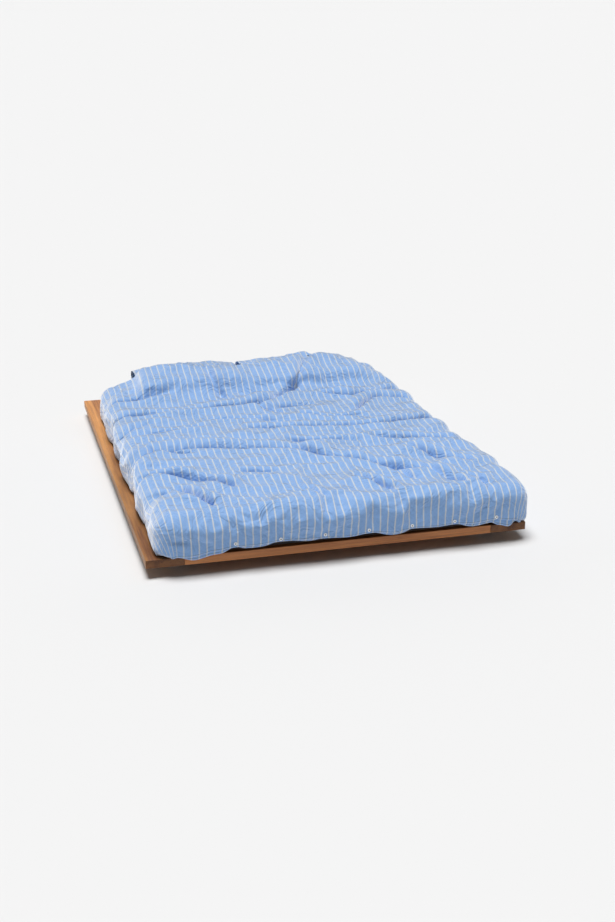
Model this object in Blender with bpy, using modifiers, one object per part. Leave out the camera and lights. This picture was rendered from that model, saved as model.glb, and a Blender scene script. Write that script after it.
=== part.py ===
"""A duvet lying on a low bed: slatted wooden platform, mattress, two pillows and a buttoned duvet.

Metres, +Z up. +X runs across the bed and +Y from its foot to its head. The origin is on the floor,
under the middle of the middle bearer.
"""

import math

import bmesh
import bpy
import numpy as np

# Clearances
TOUCH_GAP = 0.0003  # between any two pieces that touch
SLAT_END_GAP = 0.002  # slat to side board, for the wood to move

# Platform
PLATFORM_WIDTH = 1.60
PLATFORM_LENGTH = 2.20
BOARD_WIDTH = 0.155
BOARD_THICKNESS = 0.035
FLOOR_CLEARANCE = 0.045  # floor to the underside of the boards
BOARD_EASING = 0.002
SLAT_COUNT = 12
SLAT_WIDTH = 0.090
SLAT_THICKNESS = 0.018
LEDGER_WIDTH = 0.030
CENTRE_BEAM_WIDTH = 0.060
BEARER_COUNT = 3
BEARER_WIDTH = 0.070
BEARER_SIDE_RECESS = 0.10
BEARER_END_RECESS = 0.20
FELT_THICKNESS = 0.003
FELT_EDGE = 0.006  # felt kept back from the bearer's edge
PLATE_SIZE = 0.090
PLATE_THICKNESS = 0.0025
PLATE_CORNER = 0.012

# Mattress
MATTRESS_SIDE_MARGIN = 0.10  # bare board left at each side
MATTRESS_FOOT_MARGIN = 0.015
MATTRESS_HEAD_MARGIN = 0.185
MATTRESS_HEIGHT = 0.12
MATTRESS_CORNER = 0.050
MATTRESS_RIM = 0.010
COVER_CLOTH = 0.003

# Pillows, each an insert in a case that is open at its left end
PILLOW_SIDE_MARGIN = 0.100
PILLOW_SPACING = 0.010
PILLOW_DEPTH = 0.460
PILLOW_RISE = 0.080  # seam to the top
PILLOW_SINK = 0.050  # seam to the mattress
PILLOW_END_HALF = 0.004
PILLOW_HEAD_OVERHANG = 0.030
PILLOW_CASE_CLOTH = 0.001
PILLOW_CASE_FLAP = 0.006  # case beyond the insert at the open end

# Duvet: an insert between the two panels of its cover, which close all round its edge
PANEL_CLOTH = 0.001
INSERT_THICKNESS = 0.030
DUVET_FIT = 0.004  # mattress side to the under panel
DUVET_FOLD_EASE = 0.002  # fold radius over the mattress's rim
HEM_HEIGHT = 0.022  # above the boards
HEM_BAND = 0.030
CLOSING_DROP = 0.015
INSERT_CLEARANCE = 0.003
PLACKET_CLOTH = 0.0015
BUTTON_COUNT = 7
BUTTON_DIAMETER = 0.014
BUTTON_THICKNESS = 0.003
BUTTON_ABOVE_HEM = 0.022
FIRST_BUTTON_INSET = 0.248
LAST_BUTTON_INSET = 0.033
PLACKET_END = 0.008  # placket beyond the last button
DUVET_CELLS_ACROSS = 12
DUVET_CELLS_ALONG = 14

# Heights and lines that the pieces share
BOARD_TOP = FLOOR_CLEARANCE + BOARD_THICKNESS
HALF_WIDTH = PLATFORM_WIDTH / 2
HALF_LENGTH = PLATFORM_LENGTH / 2
INSIDE_HALF_WIDTH = HALF_WIDTH - BOARD_WIDTH
INSIDE_HALF_LENGTH = HALF_LENGTH - BOARD_WIDTH
LEDGER_TOP = BOARD_TOP - SLAT_THICKNESS - TOUCH_GAP
MATTRESS_WIDTH = PLATFORM_WIDTH - 2 * MATTRESS_SIDE_MARGIN
MATTRESS_LENGTH = PLATFORM_LENGTH - MATTRESS_FOOT_MARGIN - MATTRESS_HEAD_MARGIN
MATTRESS_Y = (MATTRESS_FOOT_MARGIN - MATTRESS_HEAD_MARGIN) / 2
MATTRESS_BOTTOM = BOARD_TOP + TOUCH_GAP
MATTRESS_TOP = MATTRESS_BOTTOM + MATTRESS_HEIGHT
PILLOW_WIDTH = (MATTRESS_WIDTH - 2 * PILLOW_SIDE_MARGIN - PILLOW_SPACING) / 2 - PILLOW_CASE_FLAP
CASE_GROWTH = TOUCH_GAP + PILLOW_CASE_CLOTH
PILLOW_SEAM = TOUCH_GAP + CASE_GROWTH + PILLOW_SINK  # above the mattress
LEFT_PILLOW_X = -MATTRESS_WIDTH / 2 + PILLOW_SIDE_MARGIN + PILLOW_CASE_FLAP + PILLOW_WIDTH / 2
RIGHT_PILLOW_X = LEFT_PILLOW_X + PILLOW_WIDTH + PILLOW_SPACING + PILLOW_CASE_FLAP
PILLOW_Y = MATTRESS_LENGTH / 2 + PILLOW_HEAD_OVERHANG - PILLOW_DEPTH / 2  # from the mattress's middle


def empty_scene():
    for obj in list(bpy.data.objects):
        bpy.data.objects.remove(obj)


def new_collection(name):
    found = bpy.data.collections.new(name)
    bpy.context.scene.collection.children.link(found)
    return found


def new_material(name, colour, roughness, metallic=0.0):
    made = bpy.data.materials.new(name)
    made.use_nodes = True
    shader = made.node_tree.nodes["Principled BSDF"]
    shader.inputs["Base Color"].default_value = (*colour, 1.0)
    shader.inputs["Roughness"].default_value = roughness
    shader.inputs["Metallic"].default_value = metallic
    return made


def new_group(name, location):
    """An empty that carries the pieces which move together."""
    group = bpy.data.objects.new(name, None)
    group.location = location
    PIECES.objects.link(group)
    return group


def add_piece(name, shape, finish, group, location=(0, 0, 0), into=None):
    """Makes an object of a bmesh, at a place in its group."""
    mesh = bpy.data.meshes.new(name)
    bmesh.ops.recalc_face_normals(shape, faces=shape.faces)
    shape.to_mesh(mesh)
    shape.free()
    mesh.materials.append(finish)
    piece = bpy.data.objects.new(name, mesh)
    piece.parent = group
    piece.location = location
    (into or PIECES).objects.link(piece)
    return piece


def box_shape(size):
    shape = bmesh.new()
    bmesh.ops.create_cube(shape, size=1.0)
    bmesh.ops.scale(shape, vec=size, verts=shape.verts)
    return shape


def block(name, low, high, finish, group, easing=0.0):
    """A straight piece between two corners of the group's own space."""
    middle = [(a + b) / 2 for a, b in zip(low, high)]
    size = [b - a for a, b in zip(low, high)]
    piece = add_piece(name, box_shape(size), finish, group, middle)
    if easing:
        bevel = piece.modifiers.new("eased_edges", "BEVEL")
        bevel.width = easing
        bevel.segments = 2
        bevel.limit_method = "ANGLE"
    return piece


def soft_box_shape(size, corner, rim):
    """A box with rounded upright corners, and rims rounded by a smaller radius."""
    shape = box_shape(size)
    upright = [e for e in shape.edges if abs(e.verts[0].co.z - e.verts[1].co.z) > size[2] / 2]
    bmesh.ops.bevel(shape, geom=upright, offset=corner, segments=5, profile=0.5, affect="EDGES")
    if rim:
        flat = [e for e in shape.edges if abs(e.verts[0].co.z - e.verts[1].co.z) < size[2] / 2]
        bmesh.ops.bevel(shape, geom=flat, offset=rim, segments=2, profile=0.5, affect="EDGES")
    return shape


def cut(piece, name, shape, location):
    """Takes a shape out of a piece with a Boolean."""
    cutter = add_piece(name, shape, STEEL, piece.parent, location, CUTTERS)
    cutter.hide_render = True
    cutter.display_type = "WIRE"
    boolean = piece.modifiers.new(name, "BOOLEAN")
    boolean.operation = "DIFFERENCE"
    boolean.object = cutter


def join_rings(shape, one, two):
    """Triangles between two rings. Every tube is split the same way, so that nested ones stay apart."""
    for i in range(len(one)):
        j = (i + 1) % len(one)
        shape.faces.new((one[i], one[j], two[j]))
        shape.faces.new((one[i], two[j], two[i]))


def add_tube(shape, rings):
    """An open tube through a row of rings. Returns the vertices of its first and last ring."""
    rows = [[shape.verts.new(point) for point in ring] for ring in rings]
    for one, two in zip(rows, rows[1:]):
        join_rings(shape, one, two)
    return rows[0], rows[-1]


def layer_shape(inner, outer):
    """A closed body between two draped grids of the same rows and columns."""
    rows, columns = inner.shape[:2]
    shape = bmesh.new()
    low = [[shape.verts.new(inner[i, j]) for j in range(columns)] for i in range(rows)]
    high = [[shape.verts.new(outer[i, j]) for j in range(columns)] for i in range(rows)]
    for i in range(rows - 1):
        for j in range(columns - 1):
            shape.faces.new((low[i][j], low[i][j + 1], low[i + 1][j + 1], low[i + 1][j]))
            shape.faces.new((high[i][j], high[i + 1][j], high[i + 1][j + 1], high[i][j + 1]))
    rim = [(0, j) for j in range(columns)]
    rim += [(i, columns - 1) for i in range(1, rows)]
    rim += [(rows - 1, j) for j in range(columns - 2, -1, -1)]
    rim += [(i, 0) for i in range(rows - 2, 0, -1)]
    for (i, j), (k, m) in zip(rim, rim[1:] + rim[:1]):
        shape.faces.new((low[i][j], high[i][j], high[k][m], low[k][m]))
    return shape


# ---------------------------------------------------------------- platform


def make_boards(group):
    """Four flat boards: the side boards run right through, the end boards butt between them."""
    bottom = FLOOR_CLEARANCE
    for side, name in ((-1, "side_board_left"), (1, "side_board_right")):
        edges = sorted((side * INSIDE_HALF_WIDTH, side * HALF_WIDTH))
        low = (edges[0], -HALF_LENGTH, bottom)
        high = (edges[1], HALF_LENGTH, BOARD_TOP)
        block(name, low, high, OAK, group, BOARD_EASING)
    reach = INSIDE_HALF_WIDTH - TOUCH_GAP
    for side, name in ((-1, "foot_board"), (1, "head_board")):
        edges = sorted((side * INSIDE_HALF_LENGTH, side * HALF_LENGTH))
        low = (-reach, edges[0], bottom)
        high = (reach, edges[1], BOARD_TOP)
        block(name, low, high, OAK, group, BOARD_EASING)


def make_slats(group):
    """Slats flush with the boards, on a ledger at each side and a beam along the middle."""
    inside = INSIDE_HALF_LENGTH - TOUCH_GAP
    for side, name in ((-1, "ledger_left"), (1, "ledger_right")):
        outer = side * (INSIDE_HALF_WIDTH - TOUCH_GAP)
        edges = sorted((outer, outer - side * LEDGER_WIDTH))
        low = (edges[0], -inside, FLOOR_CLEARANCE)
        block(name, low, (edges[1], inside, LEDGER_TOP), BEECH, group)
    low = (-CENTRE_BEAM_WIDTH / 2, -inside, FLOOR_CLEARANCE)
    block("centre_beam", low, (CENTRE_BEAM_WIDTH / 2, inside, LEDGER_TOP), BEECH, group)
    pitch = 2 * INSIDE_HALF_LENGTH / SLAT_COUNT
    reach = INSIDE_HALF_WIDTH - SLAT_END_GAP
    for i in range(SLAT_COUNT):
        middle = -INSIDE_HALF_LENGTH + (i + 0.5) * pitch
        low = (-reach, middle - SLAT_WIDTH / 2, BOARD_TOP - SLAT_THICKNESS)
        high = (reach, middle + SLAT_WIDTH / 2, BOARD_TOP)
        block(f"slat_{i + 1:02d}", low, high, BEECH, group, BOARD_EASING)


def make_bearers(group):
    """Recessed cross bearers that carry the boards and the beam, each on a strip of felt."""
    reach = HALF_WIDTH - BEARER_SIDE_RECESS
    last = HALF_LENGTH - BEARER_END_RECESS - BEARER_WIDTH / 2
    felt_top = FELT_THICKNESS
    names = ("foot", "middle", "head")
    for i in range(BEARER_COUNT):
        y = -last + 2 * last * i / (BEARER_COUNT - 1)
        low = (-reach, y - BEARER_WIDTH / 2, felt_top + TOUCH_GAP)
        high = (reach, y + BEARER_WIDTH / 2, FLOOR_CLEARANCE - TOUCH_GAP)
        block(f"bearer_{names[i]}", low, high, OAK, group, BOARD_EASING)
        low = (-reach + FELT_EDGE, y - BEARER_WIDTH / 2 + FELT_EDGE, 0)
        high = (reach - FELT_EDGE, y + BEARER_WIDTH / 2 - FELT_EDGE, felt_top)
        block(f"felt_{names[i]}", low, high, FELT, group)


def make_corner_plates(group):
    """A steel plate screwed under each butt joint of the boards."""
    for y_side, end in ((-1, "foot"), (1, "head")):
        for x_side, side in ((-1, "left"), (1, "right")):
            x = x_side * INSIDE_HALF_WIDTH
            y = y_side * (HALF_LENGTH - BOARD_WIDTH / 2)
            z = FLOOR_CLEARANCE - TOUCH_GAP - PLATE_THICKNESS / 2
            shape = soft_box_shape((PLATE_SIZE, PLATE_SIZE, PLATE_THICKNESS), PLATE_CORNER, 0)
            add_piece(f"corner_plate_{end}_{side}", shape, STEEL, group, (x, y, z))


# ---------------------------------------------------------------- mattress


def make_mattress(group):
    """A foam core in a five-sided cloth cover, closed below by its own panel."""
    size = (MATTRESS_WIDTH, MATTRESS_LENGTH, MATTRESS_HEIGHT)
    middle = MATTRESS_HEIGHT / 2
    shape = soft_box_shape(size, MATTRESS_CORNER, MATTRESS_RIM)
    cover = add_piece("mattress_cover", shape, TICKING, group, (0, 0, middle))
    inner_corner = MATTRESS_CORNER - COVER_CLOTH
    inner_rim = MATTRESS_RIM - COVER_CLOTH
    hollow = [size[0] - 2 * COVER_CLOTH, size[1] - 2 * COVER_CLOTH, size[2] + 2 * MATTRESS_RIM]
    hollow_place = (0, 0, middle - COVER_CLOTH - MATTRESS_RIM)
    cut(cover, "mattress_hollow", soft_box_shape(hollow, inner_corner, inner_rim), hollow_place)
    foot = [hollow[0] - 2 * TOUCH_GAP, hollow[1] - 2 * TOUCH_GAP]
    panel_place = (0, 0, COVER_CLOTH / 2)
    panel = soft_box_shape((*foot, COVER_CLOTH), inner_corner, 0)
    add_piece("mattress_base_panel", panel, TICKING, group, panel_place)
    core_bottom = COVER_CLOTH + TOUCH_GAP
    core_height = MATTRESS_HEIGHT - 2 * core_bottom
    core = soft_box_shape((*foot, core_height), inner_corner, inner_rim)
    add_piece("mattress_core", core, FOAM, group, (0, 0, core_bottom + core_height / 2))


# ---------------------------------------------------------------- pillows


def pillow_profile(x):
    """Half depth and half rise of a pillow, as shares, at x from its middle.

    The rise swells from the end seams like a superellipse, and the depth narrows a little.
    """
    share = np.minimum(np.abs(x) / (PILLOW_WIDTH / 2), 1.0)
    swell = (1 - share**2.6) ** 0.55
    return 1 - 0.06 * (1 - share) ** 0.5, swell


def pillow_ring(x, growth, points=20):
    """A pillow's outline across its depth at x, an ellipse deeper above its seam than below."""
    depth_share, swell = pillow_profile(x)
    angle = np.linspace(0, 2 * math.pi, points, endpoint=False)
    half_depth = PILLOW_DEPTH / 2 * depth_share + growth
    above = PILLOW_END_HALF + (PILLOW_RISE - PILLOW_END_HALF) * swell + growth
    below = PILLOW_END_HALF + (PILLOW_SINK - PILLOW_END_HALF) * swell + growth
    height = np.sin(angle) * np.where(np.sin(angle) > 0, above, below)
    ring = np.zeros((points, 3))
    ring[:, 0] = x
    ring[:, 1] = half_depth * np.cos(angle)
    ring[:, 2] = PILLOW_SEAM + height
    return ring


def pillow_top(x, y):
    """Height of a cased pillow's top over the mattress at (x, y) from its middle, zero beside it."""
    depth_share, swell = pillow_profile(x)
    half_depth = PILLOW_DEPTH / 2 * depth_share + CASE_GROWTH
    above = PILLOW_END_HALF + (PILLOW_RISE - PILLOW_END_HALF) * swell + CASE_GROWTH
    height = PILLOW_SEAM + above * np.sqrt(np.maximum(1 - (y / half_depth) ** 2, 0))
    reach = PILLOW_WIDTH / 2 + np.where(x < 0, PILLOW_CASE_FLAP, CASE_GROWTH)
    return np.where((np.abs(x) < reach) & (np.abs(y) < half_depth), height, 0)


def make_pillow(name, group):
    """A filled insert, and a case one cloth thick that goes round it and stands open at the left."""
    half = PILLOW_WIDTH / 2
    stations = half * np.sin(np.linspace(-math.pi / 2, math.pi / 2, 13))
    insert = bmesh.new()
    for end in add_tube(insert, [pillow_ring(x, 0.0) for x in stations]):
        insert.faces.new(end)
    add_piece(f"{name}_insert", insert, PILLOW_COTTON, group)
    case = bmesh.new()
    mouths = []
    for growth in (TOUCH_GAP, CASE_GROWTH):
        rings = [pillow_ring(-half - PILLOW_CASE_FLAP, growth)]
        rings += [pillow_ring(x, growth) for x in stations]
        rings += [pillow_ring(half, growth) + [growth, 0, 0]]
        mouth, closed_end = add_tube(case, rings)
        case.faces.new(closed_end)
        mouths.append(mouth)
    join_rings(case, *mouths)
    add_piece(f"{name}_case", case, STRIPED_COTTON, group)


# ---------------------------------------------------------------- duvet

FOLD_LEVELS = 3  # square to the top, half way round, and upright
HEM_LEVEL = FOLD_LEVELS + 3
DUVET_FOLD_RADIUS = MATTRESS_RIM + DUVET_FOLD_EASE
FLAT_HALF = MATTRESS_WIDTH / 2 + DUVET_FIT - DUVET_FOLD_RADIUS
FLAT_FOOT = -MATTRESS_LENGTH / 2 - DUVET_FIT + DUVET_FOLD_RADIUS
DUVET_HEAD = PILLOW_Y
HEM_Z = BOARD_TOP + HEM_HEIGHT - MATTRESS_TOP
TOP_PANEL_IN = PANEL_CLOTH + INSERT_THICKNESS + 2 * TOUCH_GAP
TOP_PANEL_OUT = TOP_PANEL_IN + PANEL_CLOTH
PLACKET_OUT = TOP_PANEL_IN - TOUCH_GAP
UNDER_PLACKET_OUT = PLACKET_OUT - PLACKET_CLOTH - TOUCH_GAP
UNDER_PANEL_CLOSED = UNDER_PLACKET_OUT - PLACKET_CLOTH - TOUCH_GAP


def support_height(x, y, reach_x, reach_y):
    """Highest support under the cloth near (x, y), and anywhere from there towards the foot.

    Looking towards the foot keeps the way clear for a pillow that is drawn out at the head.
    """
    near_x = x + np.linspace(-reach_x, reach_x, 25)
    near_y = np.arange(PILLOW_Y - PILLOW_DEPTH, y + reach_y, 0.01)
    if not len(near_y):
        return 0.0
    grid_x, grid_y = np.meshgrid(near_x, near_y)
    heights = [pillow_top(grid_x - middle, grid_y - PILLOW_Y) for middle in (LEFT_PILLOW_X, RIGHT_PILLOW_X)]
    return float(np.max(heights))


def duvet_lines():
    """The grid's lines: where each starts on the flat top, and how many levels it hangs down."""
    across = np.linspace(-FLAT_HALF, FLAT_HALF, DUVET_CELLS_ACROSS + 1)
    closing = DUVET_HEAD - CLOSING_DROP
    along = np.linspace(FLAT_FOOT, closing - INSERT_CLEARANCE, DUVET_CELLS_ALONG + 1)
    hang = list(range(1, HEM_LEVEL + 1))
    x_flat = [-FLAT_HALF] * HEM_LEVEL + list(across) + [FLAT_HALF] * HEM_LEVEL
    x_level = [-level for level in reversed(hang)] + [0] * len(across) + hang
    y_flat = [FLAT_FOOT] * HEM_LEVEL + list(along) + [closing, DUVET_HEAD]
    y_level = [-level for level in reversed(hang)] + [0] * (len(along) + 2)
    return x_flat, x_level, y_flat, y_level


def hanging_height(level):
    """Height of a line of the upright cloth: insert's edge, its clearance, closed cloth, hem."""
    band_top = HEM_Z + HEM_BAND
    closing = band_top + CLOSING_DROP
    return (closing + INSERT_CLEARANCE, closing, band_top, HEM_Z)[level - FOLD_LEVELS]


def draped_point(flat, levels, top, out):
    """A point of the draped cloth, out from the surface that lies on the mattress.

    The cloth leaves the flat top square to its edge, turns down round the fold radius and then
    hangs upright to the hem. At a corner it turns down along the diagonal.
    """
    level = max(abs(levels[0]), abs(levels[1]))
    turn = min(level / (FOLD_LEVELS - 1), 1) * math.pi / 2
    sideways = (DUVET_FOLD_RADIUS + out) * math.sin(turn)
    z = top - DUVET_FOLD_RADIUS + (DUVET_FOLD_RADIUS + out) * math.cos(turn)
    if level >= FOLD_LEVELS:
        z = hanging_height(level)
    length = math.hypot(*levels) or 1.0
    x = flat[0] + sideways * levels[0] / length
    y = flat[1] + sideways * levels[1] / length
    return x, y, z


def draped_grid(out, closed_out=None, insert_only=False):
    """Points of one surface of the duvet, out from the mattress. Past the insert's edge and its
    clearance the surface goes to closed_out instead."""
    x_flat, x_level, y_flat, y_level = duvet_lines()
    reach_x = 2 * FLAT_HALF / DUVET_CELLS_ACROSS
    reach_y = (DUVET_HEAD - FLAT_FOOT) / DUVET_CELLS_ALONG
    trim = HEM_LEVEL - FOLD_LEVELS if insert_only else 0
    head_trim = 2 if insert_only else 0
    rows = range(trim, len(y_flat) - head_trim)
    columns = range(trim, len(x_flat) - trim)
    grid = np.zeros((len(rows), len(columns), 3))
    for i, row in enumerate(rows):
        for j, column in enumerate(columns):
            flat = (x_flat[column], y_flat[row])
            levels = (x_level[column], y_level[row])
            beyond = max(abs(levels[0]), abs(levels[1])) > FOLD_LEVELS + 1 or row == len(y_flat) - 1
            use = closed_out if beyond and closed_out is not None else out
            top = support_height(*flat, reach_x, reach_y) + TOUCH_GAP
            grid[i, j] = draped_point(flat, levels, top, use)
    return grid


def make_duvet(group):
    """The insert, the two panels of the cover, and the two plackets at its buttoned foot."""
    insert_in = PANEL_CLOTH + TOUCH_GAP
    insert = [draped_grid(out, insert_only=True) for out in (insert_in, insert_in + INSERT_THICKNESS)]
    add_piece("duvet_insert", layer_shape(*insert), INSERT_COTTON, group)
    top = [draped_grid(out) for out in (TOP_PANEL_IN, TOP_PANEL_OUT)]
    add_piece("duvet_cover_top_panel", layer_shape(*top), STRIPED_COTTON, group)
    under = [
        draped_grid(out, closed_out=UNDER_PANEL_CLOSED - PANEL_CLOTH + out)
        for out in (0.0, PANEL_CLOTH)
    ]
    add_piece("duvet_cover_under_panel", layer_shape(*under), STRIPED_COTTON, group)
    face = FLAT_FOOT - DUVET_FOLD_RADIUS
    first = -FLAT_HALF + FIRST_BUTTON_INSET
    last = FLAT_HALF - LAST_BUTTON_INSET
    for name, out in (("upper_placket", PLACKET_OUT), ("under_placket", UNDER_PLACKET_OUT)):
        low = (first - PLACKET_END, face - out, HEM_Z)
        high = (last + PLACKET_END, face - out + PLACKET_CLOTH, HEM_Z + HEM_BAND)
        block(name, low, high, STRIPED_COTTON, group)
    y = face - TOP_PANEL_OUT - TOUCH_GAP - BUTTON_THICKNESS / 2
    for i in range(BUTTON_COUNT):
        x = first + (last - first) * i / (BUTTON_COUNT - 1)
        make_button(f"button_{i + 1}", group, (x, y, HEM_Z + BUTTON_ABOVE_HEM))


def make_button(name, group, location):
    """A small round shirt-style button, its face to the foot of the bed."""
    shape = bmesh.new()
    radius = BUTTON_DIAMETER / 2
    bmesh.ops.create_cone(
        shape, cap_ends=True, segments=20, radius1=radius, radius2=radius, depth=BUTTON_THICKNESS
    )
    button = add_piece(name, shape, SHELL, group, location)
    button.rotation_euler = (math.pi / 2, 0, 0)
    bevel = button.modifiers.new("rounded_rim", "BEVEL")
    bevel.width = BUTTON_THICKNESS / 4
    bevel.segments = 2
    bevel.limit_method = "ANGLE"
    button.data.shade_smooth()


empty_scene()
PIECES = new_collection("duvet_on_bed")
CUTTERS = new_collection("duvet_on_bed_cutters")
OAK = new_material("oiled_wood", (0.42, 0.22, 0.10), 0.45)
BEECH = new_material("plain_beech", (0.62, 0.45, 0.28), 0.55)
STEEL = new_material("zinc_plated_steel", (0.55, 0.55, 0.56), 0.35, 1.0)
FELT = new_material("grey_felt", (0.20, 0.19, 0.18), 0.95)
TICKING = new_material("charcoal_ticking", (0.045, 0.042, 0.042), 0.90)
FOAM = new_material("foam", (0.80, 0.76, 0.62), 0.95)
PILLOW_COTTON = new_material("white_pillow_cotton", (0.85, 0.85, 0.84), 0.90)
INSERT_COTTON = new_material("white_duvet_cotton", (0.86, 0.86, 0.85), 0.90)
STRIPED_COTTON = new_material("striped_cotton", (0.27, 0.43, 0.75), 0.85)
SHELL = new_material("white_shell", (0.86, 0.85, 0.82), 0.30)

platform = new_group("platform_group", (0, 0, 0))
make_boards(platform)
make_slats(platform)
make_bearers(platform)
make_corner_plates(platform)
make_mattress(new_group("mattress_group", (0, MATTRESS_Y, MATTRESS_BOTTOM)))
for side_name, pillow_x in (("left", LEFT_PILLOW_X), ("right", RIGHT_PILLOW_X)):
    place = (pillow_x, MATTRESS_Y + PILLOW_Y, MATTRESS_TOP)
    make_pillow(f"pillow_{side_name}", new_group(f"pillow_{side_name}_group", place))
make_duvet(new_group("duvet_group", (0, MATTRESS_Y, MATTRESS_TOP)))
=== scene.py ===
"""A striped duvet lying on a low slatted bed, with two pillows and a charcoal mattress.

Metres, +Z up, +X across the bed and +Y from its foot to its head. The floor is z = 0.
"""

import math

import bpy
import numpy as np
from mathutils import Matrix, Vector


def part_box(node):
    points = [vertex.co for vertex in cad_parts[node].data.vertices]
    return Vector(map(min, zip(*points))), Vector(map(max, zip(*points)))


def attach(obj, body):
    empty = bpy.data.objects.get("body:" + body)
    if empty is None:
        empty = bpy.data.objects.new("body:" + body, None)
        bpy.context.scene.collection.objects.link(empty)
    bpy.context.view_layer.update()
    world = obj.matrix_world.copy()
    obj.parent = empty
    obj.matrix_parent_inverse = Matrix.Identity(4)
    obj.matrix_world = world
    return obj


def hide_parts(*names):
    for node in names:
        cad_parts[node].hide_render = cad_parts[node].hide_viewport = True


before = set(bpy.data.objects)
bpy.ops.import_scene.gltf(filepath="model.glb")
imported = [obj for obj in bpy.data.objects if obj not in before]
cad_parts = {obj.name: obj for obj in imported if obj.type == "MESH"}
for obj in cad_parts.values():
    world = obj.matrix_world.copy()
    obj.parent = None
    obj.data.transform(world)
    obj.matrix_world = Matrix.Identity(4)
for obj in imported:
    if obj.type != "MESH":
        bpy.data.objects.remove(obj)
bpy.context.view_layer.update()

# ---------------------------------------------------------------- studio
# A white studio: a matt painted floor that runs back past the horizon, a pale wall behind the bed, a pale
# skirting all round, and one very wide soft light straight overhead.
FLOOR_SIZE = 900.0
FLOOR_WHITE = (0.74, 0.74, 0.74, 1)
ROOM_LIGHT = 0.08
PALE_LIGHT = 0.80  # how much more light than the room the wall and the skirting give off
EASED = {"interpolation_type": "SMOOTHSTEP"}
TIMES = {"operation": "MULTIPLY"}
TIMES_PLUS = {"operation": "MULTIPLY_ADD"}
COLOURS = {"data_type": "RGBA"}


def linear(code):
    """An sRGB hex code as a linear colour; channel c gives ((c + 0.055) / 1.055) ** 2.4, or c / 12.92."""
    channels = [int(code[i : i + 2], 16) / 255 for i in (1, 3, 5)]
    return tuple(c / 12.92 if c <= 0.04045 else ((c + 0.055) / 1.055) ** 2.4 for c in channels) + (1.0,)


def new_material(name):
    """An empty node material with its output; returns the material, its tree and the output node."""
    material = bpy.data.materials.new(name)
    material.use_nodes = True
    tree = material.node_tree
    tree.nodes.clear()
    return material, tree, tree.nodes.new("ShaderNodeOutputMaterial")


def add(tree, kind, settings=None, values=None, links=None):
    """Adds a node: settings are its own options, values go on its sockets, links feed its sockets."""
    made = tree.nodes.new(kind)
    for key, value in (settings or {}).items():
        setattr(made, key, value)
    for socket, value in (values or {}).items():
        made.inputs[socket].default_value = value
    for socket, source in (links or {}).items():
        tree.links.new(source, made.inputs[socket])
    return made


def grid_faces(rows, columns):
    """Quads of a rows by columns grid of points, counted row by row."""
    row, column = np.meshgrid(np.arange(rows - 1), np.arange(columns - 1), indexing="ij")
    here = row * columns + column
    up = here + columns
    return np.stack([here, here + 1, up + 1, up], -1).reshape(-1, 4)


def new_piece(name, points, faces, material):
    """A mesh object from an array of points and lists of corners, in its material."""
    mesh = bpy.data.meshes.new(name)
    mesh.from_pydata(np.asarray(points).reshape(-1, 3).tolist(), [], [list(map(int, f)) for f in faces])
    mesh.update()
    piece = bpy.data.objects.new(name, mesh)
    bpy.context.scene.collection.objects.link(piece)
    if material:
        mesh.materials.append(material)
    mesh.polygons.foreach_set("use_smooth", np.ones(len(mesh.polygons), bool))
    return piece


floor_paint, tree, output = new_material("matt white painted floor")
shader = add(tree, "ShaderNodeBsdfDiffuse", values={"Color": FLOOR_WHITE})
tree.links.new(shader.outputs[0], output.inputs["Surface"])
half = FLOOR_SIZE / 2
floor = new_piece("studio_floor", [(-half, -half, 0), (half, -half, 0), (half, half, 0), (-half, half, 0)],
                  [(0, 1, 2, 3)], floor_paint)

world = bpy.data.worlds.new("white studio")
bpy.context.scene.world = world
world.use_nodes = True
tree = world.node_tree
# The painted wall behind the bed is as white as the floor; the rest of the room is dimmer.
sky = add(tree, "ShaderNodeTexCoord").outputs["Generated"]
split = add(tree, "ShaderNodeSeparateXYZ", links={0: sky})
behind = add(tree, "ShaderNodeMapRange", EASED, {"From Min": 0.0, "From Max": 0.6},
             {"Value": split.outputs["Y"]})
low = add(tree, "ShaderNodeMapRange", EASED,
          {"From Min": 0.25, "From Max": 0.75, "To Min": 1.0, "To Max": 0.0}, {"Value": split.outputs["Z"]})
wall_part = add(tree, "ShaderNodeMath", TIMES, links={0: behind.outputs[0], 1: low.outputs[0]})
skirting = add(tree, "ShaderNodeMapRange", EASED,
               {"From Min": 0.0, "From Max": 0.20, "To Min": 1.0, "To Max": 0.0},
               {"Value": split.outputs["Z"]})
pale = add(tree, "ShaderNodeMath", {"operation": "MAXIMUM"},
           links={0: wall_part.outputs[0], 1: skirting.outputs[0]})
strength = add(tree, "ShaderNodeMath", TIMES_PLUS, {1: PALE_LIGHT, 2: ROOM_LIGHT}, {0: pale.outputs[0]})
tree.links.new(strength.outputs[0], tree.nodes["Background"].inputs["Strength"])
tree.nodes["Background"].inputs["Color"].default_value = (1, 1, 1, 1)

lamp = bpy.data.lights.new("overhead soft box", "SUN")
lamp.energy = 3.36
lamp.angle = math.radians(30)
lamp_holder = bpy.data.objects.new("overhead soft box", lamp)
lamp_holder.rotation_euler = (0, math.radians(-4), 0)
bpy.context.scene.collection.objects.link(lamp_holder)

lens = bpy.data.cameras.new("camera")
lens.lens = 53.88
lens.sensor_width = 36
lens.clip_end = 2000
camera = bpy.data.objects.new("camera", lens)
camera.location = (-1.457, -6.046, 2.261)
camera.rotation_euler = (math.radians(90 - 19.63), 0, math.radians(-14.86))
bpy.context.scene.collection.objects.link(camera)
bpy.context.scene.camera = camera
bpy.context.scene.view_settings.view_transform = "Standard"

# ---------------------------------------------------------------- wooden platform
# The platform is solid softwood, planed and oiled a warm brown. Four boards make a flat frame, and slats,
# ledgers, a centre beam and three bearers are plain beech under it. Side boards show end grain at the foot.


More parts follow.
